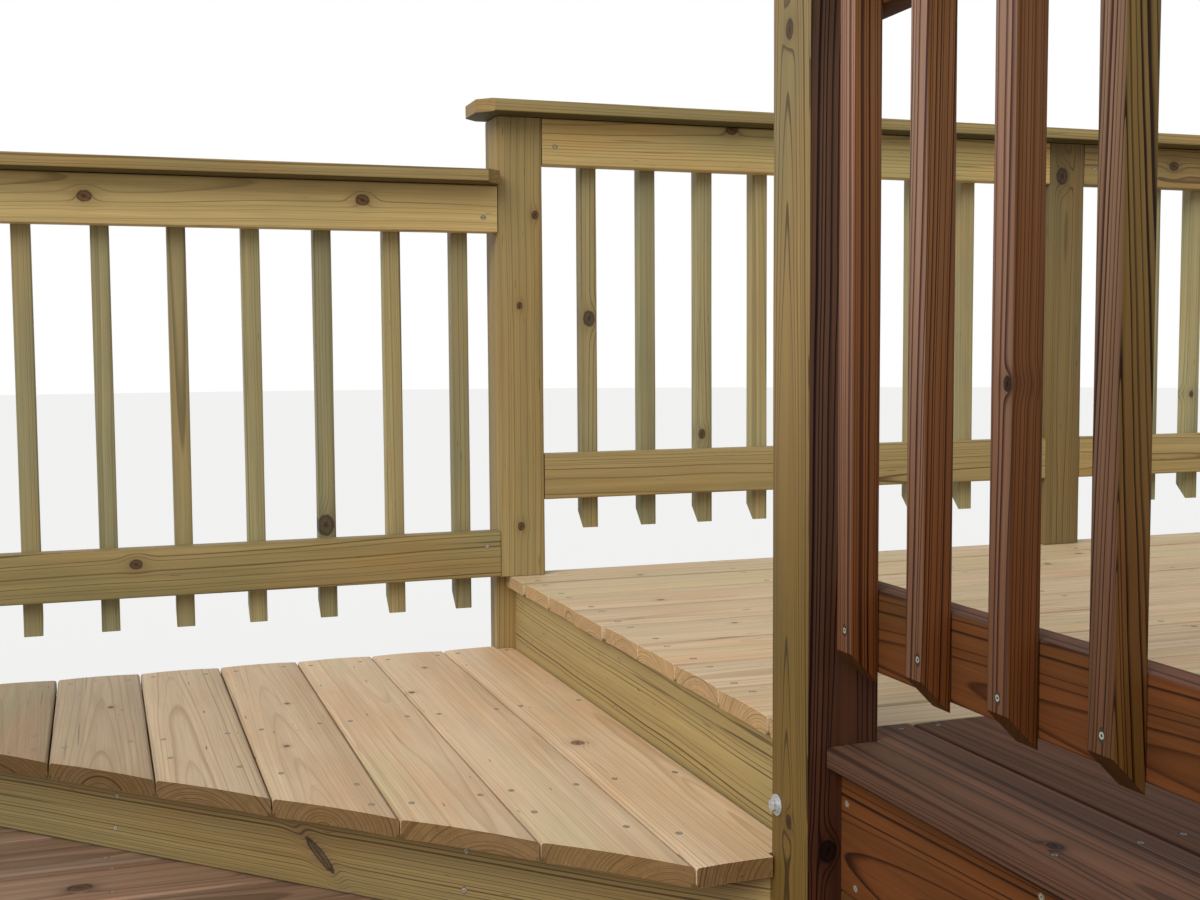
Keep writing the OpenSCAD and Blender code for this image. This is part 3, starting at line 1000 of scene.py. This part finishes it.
railings = dict(
    capClip=0.03,
    plainRail=dict(depth=(0.03, 0.07), aside=0.03, tilt=0.02, knotty=0.7),
    left_top_rail=dict(
        knots=[(-0.7819, -0.05, 1.1633, 0.009), (-0.3001, -0.05, 1.1695, 0.009)],
        # this rail is much lighter than its wood: painted light in place of the light that the cap keeps
        # off it
        timbers={0: dict(pith=(0.035, -0.05), tilt=0.008, shade=1.68, warmth=0.38, rings=200, bold=0.8)},
    ),
    left_bottom_rail=dict(
        knots=[(-0.7138, -0.05, 0.518, 0.008)],
        timbers={
            0: dict(
                pith=(0.06, -0.03), tilt=0.01, lean=-0.01, rings=125, shade=0.88, greenness=0.6, bold=1.3,
            ),
        },
    ),
    first_top_rail=dict(
        knots=[(0.4408, -0.05, 1.3287, 0.009)],
        # this rail is much lighter than its wood: painted light in place of the light that the cap keeps
        # off it
        timbers={0: dict(pith=(0.055, -0.04), tilt=0.006, rings=150, shade=1.72, warmth=0.6, bold=0.85)},
    ),
    second_top_rail=dict(
        knots=[(1.5264, -0.05, 1.2947, 0.009)],
        timbers={0: dict(warmth=0.62, shade=0.92)},
    ),
    # the caps' downward faces take capUnder, the pine darkened as painted shadow
    caps=dict(
        sideFinish="capUnder", sideFacing=[-up], ease=0.004, knotty=0, rings=(120, 180),
        shade=(0.9, 0.98),
    ),
    stainedRail=dict(
        wood="redStain", knotty=0, sideFinish="oldStain", sideFacing=[up],
        timbers={0: dict(pith=(0.02, -0.035), tilt=0.02, rings=165, warmth=0.62, bold=0.95)},
    ),
    stainedCap=dict(wood="redStain", ease=0.005, knotty=0),
    balusters=dict(
        wood="palePine", ease=0.002, rings=(170, 300), aside=0.11, depth=(0.0, 0.06), tilt=0.012,
        shade=(0.86, 1.06), knotty=0.25, knotSize=(0.005, 0.012),
    ),
    left_balusters=dict(knots=[(-0.3731, 0.0, 0.5685, 0.014)]),
    first_balusters=dict(knots=[(0.1501, 0.0, 0.954, 0.011), (0.3918, 0.0, 0.7197, 0.007)]),
    # the faces towards ±y take brushedShadedSide, the copy of the stain darkened as painted shade
    stainedBalusters=dict(
        wood="brushedStain", sideFinish="brushedShadedSide", sideFacing=[north, -north], ease=0.002,
        rings=(150, 260), aside=0.07, depth=(0.0, 0.04), tilt=0.01,
        knots=[(-0.0255, -1.6732, 0.8625, 0.005)],
        timbers={
            8: dict(pith=(-0.065, -0.06), rings=290, warmth=0.55, greenness=0.2, bold=1.0, shade=1.05),
            7: dict(pith=(-0.05, -0.07), rings=270, warmth=0.46, greenness=0.25, tilt=0.014, bold=1.5),
            6: dict(pith=(-0.03, -0.045), rings=260, warmth=0.54, greenness=0.2, tilt=0.006, shade=0.88),
            5: dict(
                pith=(0.075, -0.06), rings=300, warmth=0.42, greenness=0.7, lean=0.03, shade=0.8,
                bold=1.35,
            ),
        },
    ),
)


def tipCut(away):
    # every baluster's foot is sawn off at 45 degrees, rising away from the rails
    def cut(whole, boxes):
        low, high = boxes[0]
        point = Vector([low[i] if away[i] > 0 else high[i] for i in range(3)])
        point.z = low.z
        sawOff(whole, point, (away - up).normalized())

    return cut


def makeBalusters(node, away, deep, own):
    layTimbers(node, up, deep, own, tipCut(away), [(away - up).normalized()])


def clipCorners(corners):
    # each corner is a pair of sides along x and y, each -1 or 1
    def clip(whole, boxes):
        low, high = boxes[0]
        for sideX, sideY in corners:
            corner = Vector((high.x if sideX > 0 else low.x, high.y if sideY > 0 else low.y, 0))
            facing = Vector((sideX, sideY, 0)).normalized()
            sawOff(whole, corner - facing * railings["capClip"] / math.sqrt(2), facing)

    return clip


def makeCap(node, along, own, corners):
    diagonals = [Vector((1, 1, 0)).normalized(), Vector((1, -1, 0)).normalized()]
    layTimbers(node, along, up, own, clipCorners(corners), diagonals)


print("railings")
for bay in ("left", "first", "second"):
    for node in (bay + "_top_rail", bay + "_bottom_rail"):
        layTimbers(node, east, -north, railings.get(node, railings["plainRail"]))
for bay in ("left", "first", "second"):
    node = bay + "_balusters"
    makeBalusters(node, north, -north, {**railings["balusters"], **railings.get(node, {})})
for node in ("stained_top_rail", "stained_bottom_rail"):
    layTimbers(node, north, -east, railings["stainedRail"])
makeBalusters("stained_balusters", -east, -east, railings["stainedBalusters"])
allCorners = [(-1, -1), (1, -1), (1, 1), (-1, 1)]
# the left cap keeps its right back corner
makeCap("left_cap", east, railings["caps"], allCorners[:2] + allCorners[3:])
makeCap("right_cap", east, railings["caps"], allCorners)
makeCap("stained_cap", north, railings["stainedCap"], allCorners)


# ---------- screws and bolts

fasteners = dict(
    headRadius=0.0031, headSides=12, headDepth=0.0012, proud=0.0002, recess=0.0016, recessInset=0.55,
    scarRadius=0.0042, scarLevel=0.00015, scarLength=1.3, tearLength=1.7, fromEdge=0.024,
    fromRailEnds=(0.026, 0.028), fromPostSide=0.027, postPair=0.03, noseRow=0.028, nosePair=0.045,
    apart=0.06, clearOfNose=0.01, strayAlong=0.006, strayAside=0.005, strayUp=0.008, strayBeside=0.007,
    strayStained=(-0.008, 0.006), reach=0.03, washerRadius=0.0125, washerDepth=0.0022, washerSink=0.0004,
    flangeShare=1.25, flangeDepth=0.0016, boltRadius=0.0075, boltHeight=0.0055,
)


def turnedAt(sides, radius, depth, level, bevel=0.0):
    # an upright cylinder whose middle lies at this level
    clearSelection()
    place = {"location": (0, 0, level)}
    bpy.ops.mesh.primitive_cylinder_add(vertices=sides, radius=radius, depth=depth, **place)
    turned = bpy.context.object
    applyPlace()
    if bevel:
        applyModifier(turned, "BEVEL", {"width": bevel, "segments": 2})
    return turned


def makeScrewHead(metal, tear, torn):
    # a flat head with a twelve-sided recess, in a scar that its driving tore along the grain
    size = fasteners
    level = size["proud"] - size["headDepth"] / 2
    head = turnedAt(size["headSides"], size["headRadius"], size["headDepth"], level)
    setMode("EDIT")
    pick(head, "FACE", lambda middle, normal: normal.z > 0.9)
    bpy.ops.mesh.inset(thickness=size["headRadius"] * size["recessInset"], depth=0.0)
    bpy.ops.mesh.extrude_region_move(TRANSFORM_OT_translate={"value": (0, 0, -size["recess"] / 2)})
    setMode("OBJECT")
    paint(head, metal)
    # the scar is torn wood, and its dark colour is also painted shade of the hole that the head is sunk
    # in
    bpy.ops.mesh.primitive_circle_add(
        vertices=12, radius=size["scarRadius"], fill_type="NGON", location=(0, 0, size["scarLevel"])
    )
    scar = bpy.context.object
    scar.scale = (tear, 1, 1)
    applyPlace()
    paint(scar, torn)
    return joined("screwHead", [head, scar])


def makeBolt():
    # a hex head with a flange and a chamfered top, on a round washer
    size = fasteners
    top = size["washerDepth"]
    flangeRadius = size["boltRadius"] * size["flangeShare"]
    washer = turnedAt(32, size["washerRadius"], top, top / 2 - size["washerSink"], 0.0006)
    flange = turnedAt(24, flangeRadius, size["flangeDepth"], top + size["washerSink"] / 2, 0.0005)
    hexagon = turnedAt(6, size["boltRadius"], size["boltHeight"], top + size["boltHeight"] / 2, 0.0009)
    bolt = joined("bolt", [washer, flange, hexagon])
    paint(bolt, "zinc")
    return bolt


def driveAll(name, head, spots):
    # each spot is a node, a point beside it, the way into it and its grain; the head lands on its piece
    pieces = []
    for node, point, inward, grain in spots:
        start = point - inward * fasteners["reach"]
        hit, place, normal, face = laid[node].ray_cast(start, inward, distance=2 * fasteners["reach"])
        if not hit or normal.dot(inward) > -0.9:
            continue
        flat = (grain - normal * grain.dot(normal)).normalized()
        turned = Matrix((flat, normal.cross(flat), normal)).transposed().to_4x4()
        driven = head.copy()
        driven.data = head.data.copy()
        driven.data.transform(Matrix.Translation(place) @ turned)
        bpy.context.collection.objects.link(driven)
        pieces.append(driven)
    whole = joined(name, pieces)
    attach(whole, "root")


def boardSpots(node, rows, along, draw):
    # two screws where each board crosses each joist
    across = up.cross(along)
    ahead, aside = fasteners["strayAlong"], fasteners["strayAside"]
    spots = []
    for low, high in solidBoxes(node):
        middle = (low + high) / 2
        half = abs(((high - low) / 2).dot(across)) - fasteners["fromEdge"]
        for row in rows:
            for side in (-1, 1):
                point = middle + along * (row - middle.dot(along)) + across * side * half
                point += along * draw.uniform(-ahead, ahead) + across * draw.uniform(-aside, aside)
                point.z = high.z
                spots.append((node, point, -up, along))
    return spots


def spotsAt(node, inward, grain, places):
    # screws of one node that all go in the same way
    return [(node, Vector(place), inward, grain) for place in places]


def middlesOf(nodes, direction):
    # where the solids of these nodes have their middles, in this direction
    return [((low + high) / 2).dot(direction) for node in nodes for low, high in solidBoxes(node)]


print("screws and bolts")
screw = makeScrewHead("coatedSteel", fasteners["scarLength"], "crushedWoodShade")
darkScrew = makeScrewHead("dullSteel", fasteners["scarLength"], "tornStainShade")
tornScrew = makeScrewHead("coatedSteel", fasteners["tearLength"], "tornStainShade")
bolt = makeBolt()
draw = random.Random(41)

stepRows = [
    ((low + high) / 2).y for low, high in solidBoxes("step_frame") if high.x - low.x > high.y - low.y
]
stepSpots = boardSpots("step_boards", stepRows, north, draw)
for low, high in solidBoxes("step_boards"):
    for side in (-1, 1):
        x = (low.x + high.x) / 2 + side * fasteners["nosePair"]
        stray = draw.uniform(-fasteners["strayAlong"], fasteners["strayAlong"])
        y = riserLeft.x + riserLeft.y + fasteners["noseRow"] - x + stray
        point = Vector((x, y, high.z))
        if all((point - spot[1]).length > fasteners["apart"] for spot in stepSpots):
            stepSpots.append(("step_boards", point, -up, north))
driveAll("stepScrews", screw, stepSpots)

lightRows = middlesOf(["light_fascia", "light_joists", "upper_right_rim"], east)
driveAll("lightDeckScrews", screw, boardSpots("light_deck_boards", lightRows, east, draw))

stainedRows = middlesOf(["dividing_beam", "stained_joists", "upper_front_rim"], north)
stainedSpots = boardSpots("stained_deck_boards", stainedRows, north, draw)
stainedSpots += boardSpots("stained_edge_board", stainedRows, north, draw)
driveAll("stainedDeckScrews", darkScrew, stainedSpots)

# the lower deck's boards have screws only where the step doesn't cover them
lowerRows = middlesOf(["lower_left_rim", "lower_joists", "lower_right_rim"], east)
lowerSpots = boardSpots("lower_deck_boards", lowerRows, east, draw)
nose = riserLeft.x + riserLeft.y - fasteners["clearOfNose"]
driveAll("lowerDeckScrews", screw, [spot for spot in lowerSpots if spot[1].x + spot[1].y < nose])

# screws through upright faces
riserPlaces = (
    (-0.7605, -0.5414, 0.246), (-0.7639, -0.538, 0.1975), (-0.3406, -0.9613, 0.252),
    (-0.3433, -0.9586, 0.1995), (-1.15, -0.152, 0.247), (-1.152, -0.15, 0.198),
)
faceSpots = spotsAt("step_riser", -slant, up, riserPlaces)
fasciaPlaces = dict(
    light_fascia=((-0.0707, 0.4), (-0.1008, 0.328), (-0.62, 0.405), (-0.6, 0.325), (-1.21, 0.402)),
    stained_fascia=((-1.372, 0.3056), (-1.352, 0.394), (-1.6976, 0.4149), (-1.705, 0.318), (-2.2, 0.4)),
)
for node, places in fasciaPlaces.items():
    faceSpots += spotsAt(node, east, north, [(-0.0065, y, z) for y, z in places])
fromLow, fromHigh = fasteners["fromRailEnds"]
for node, first, second in (
    ("left_top_rail", 1.14, 1.143),
    ("left_bottom_rail", 0.523, 0.518),
    ("first_top_rail", 1.2807, 1.279),
    ("first_bottom_rail", 0.578, 0.583),
    ("second_top_rail", 1.282, 1.28),
    ("second_bottom_rail", 0.58, 0.577),
):
    low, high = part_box(node)
    ends = ((low.x + fromLow, low.y, first), (high.x - fromHigh, low.y, second))
    faceSpots += spotsAt(node, north, east, ends)
driveAll("faceScrews", screw, faceSpots)

balusterSpots = []
lift, beside = fasteners["strayUp"], fasteners["strayBeside"]
for bay in ("left", "first", "second", "stained"):
    node = bay + "_balusters"
    for rail in ("_bottom_rail", "_top_rail"):
        railLow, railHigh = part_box(bay + rail)
        for low, high in solidBoxes(node):
            x, y, z = (low + high) / 2
            z = (railLow.z + railHigh.z) / 2 + draw.uniform(-lift, lift)
            if bay == "stained":
                y += draw.uniform(*fasteners["strayStained"])
                balusterSpots += spotsAt(node, east, up, [(low.x, y, z)])
            else:
                x += draw.uniform(-beside, beside)
                balusterSpots += spotsAt(node, -north, up, [(x, high.y, z)])
driveAll("balusterScrews", tornScrew, balusterSpots)

boltSpots = spotsAt("near_post", east, north, [(-0.0495, -1.2658, 0.3719)])
low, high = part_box("stained_end_post")
pair = [(low.x, low.y + 0.062, 0.385), (low.x, low.y + 0.027, 0.33)]
driveAll("bolts", bolt, boltSpots + spotsAt("stained_end_post", east, north, pair))

postSpots = []
aside, apart = fasteners["fromPostSide"], fasteners["postPair"]
for node in posts["back"]:
    level = 0.222 if node == "left_end_post" else 0.362
    low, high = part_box(node)
    pair = [(low.x + aside, high.y, level + apart), (high.x - aside, high.y, level - apart)]
    postSpots += spotsAt(node, -north, east, pair)
driveAll("postScrews", screw, postSpots)
for pattern in (screw, darkScrew, tornScrew, bolt):
    bpy.data.objects.remove(pattern)


# ---------- floor and light

studio = dict(
    floorRadius=30, floorLevel=-0.0005, floorColour=(0.62, 0.61, 0.6), floorWhite=0.72,
    skyColour=(0.95, 0.98, 1.0), skyStrength=0.58, sunFrom=(-0.66, -0.52, 0.54),
    sunColour=(1.0, 0.97, 0.92), sunStrength=2.35, sunWidth=40,
)


def makeFloor():
    clearSelection()
    shape = {"radius": studio["floorRadius"], "location": (0, 0, studio["floorLevel"])}
    bpy.ops.mesh.primitive_circle_add(vertices=96, fill_type="NGON", **shape)
    floor = bpy.context.object
    floor.name = "floor"
    applyPlace()
    sheet = newMaterial("paleFloor")
    seen = sheet.add("LightPath", {}, {}, "Is Camera Ray")
    matt = sheet.add("BsdfDiffuse", {}, {"Color": studio["floorColour"]})
    white = sheet.add("Emission", {}, {"Color": (1, 1, 1), "Strength": 1.0})
    mixed = sheet.add("MixShader", {}, {0: seen * studio["floorWhite"], 1: matt, 2: white})
    sheet.add("OutputMaterial", {}, {"Surface": mixed})
    paint(floor, "paleFloor")


def setLight():
    clearSelection()
    facing = Vector(studio["sunFrom"]).to_track_quat("Z", "Y").to_euler()
    bpy.ops.object.light_add(type="SUN", rotation=facing)
    sun = bpy.context.object.data
    sun.energy = studio["sunStrength"]
    sun.color = studio["sunColour"]
    sun.angle = math.radians(studio["sunWidth"])
    world = bpy.data.worlds.new("studio")
    world.use_nodes = True
    bpy.context.scene.world = world
    sheet = Sheet(world.node_tree)
    seen = 0.0
    for ray in ("Is Camera Ray", "Is Glossy Ray", "Is Transmission Ray"):
        seen = sheet.add("LightPath", {}, {}, ray).atLeast(seen)
    sky = sheet.add("Background", {}, {"Color": studio["skyColour"], "Strength": studio["skyStrength"]})
    white = sheet.add("Background", {}, {"Color": (1, 1, 1), "Strength": 1.0})
    mixed = sheet.add("MixShader", {}, {0: seen, 1: sky, 2: white})
    sheet.add("OutputWorld", {}, {"Surface": mixed})
    bpy.context.scene.view_settings.view_transform = "Standard"


print("floor and light")
makeFloor()
setLight()

bpy.context.view_layer.update()
